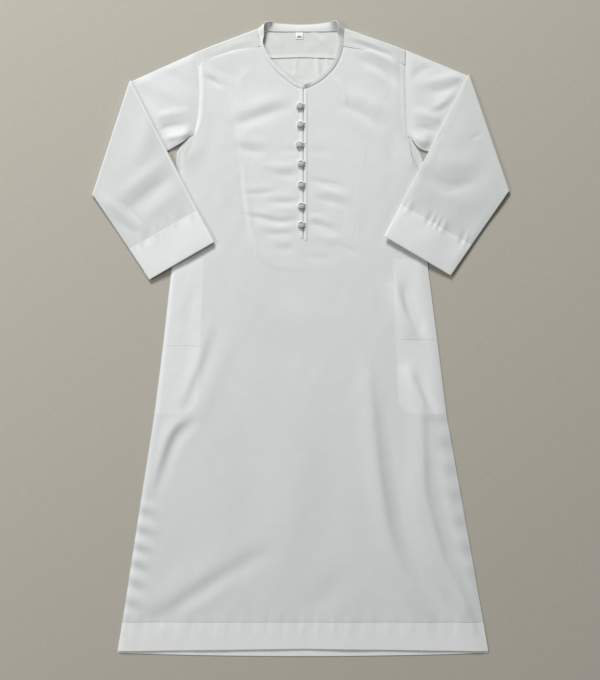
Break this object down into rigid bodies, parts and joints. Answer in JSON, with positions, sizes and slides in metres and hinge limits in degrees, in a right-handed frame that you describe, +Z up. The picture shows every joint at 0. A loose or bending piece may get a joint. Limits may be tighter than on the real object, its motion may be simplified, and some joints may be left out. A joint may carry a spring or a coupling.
{
  "type": "thobe robe",
  "caption": "Long white collar-band robe laid flat and face up, with a buttoned chest slit and both sleeves folded in over the front.",
  "frame": {"origin": "centre of the garment's bounding box, on the surface it lies on", "axes": "+Y from the hem to the collar, +X to the right of the laid garment seen from above, +Z up from the surface"},
  "size_m": [0.9164, 1.393, 0.0168],
  "materials": {
    "cloth": "smooth white suiting with a soft sheen",
    "double_cloth": "the same cloth lying double, a little whiter",
    "button_cord": "knotted grey cord",
    "tab": "woven white tab"
  },
  "bodies": {
    "root": {"back_panel": "cloth", "front_panel": "cloth", "sleeve_left": "cloth", "sleeve_right": "cloth", "yoke": "double_cloth", "hem_front": "double_cloth", "hem_back": "double_cloth", "cuff_left": "double_cloth", "cuff_right": "double_cloth", "collar_band": "double_cloth", "button_stand": "double_cloth", "button_edge": "double_cloth", "loop_edge": "double_cloth", "chest_facing": "double_cloth", "pocket_bag_left": "double_cloth", "pocket_bag_right": "double_cloth", "button_1": "button_cord", "button_2": "button_cord", "button_3": "button_cord", "button_4": "button_cord", "button_5": "button_cord", "button_6": "button_cord", "button_7": "button_cord", "button_loop_1": "cloth", "button_loop_2": "cloth", "button_loop_3": "cloth", "button_loop_4": "cloth", "button_loop_5": "cloth", "button_loop_6": "cloth", "button_loop_7": "cloth", "size_tab": "tab"}
  },
  "joints": []
}
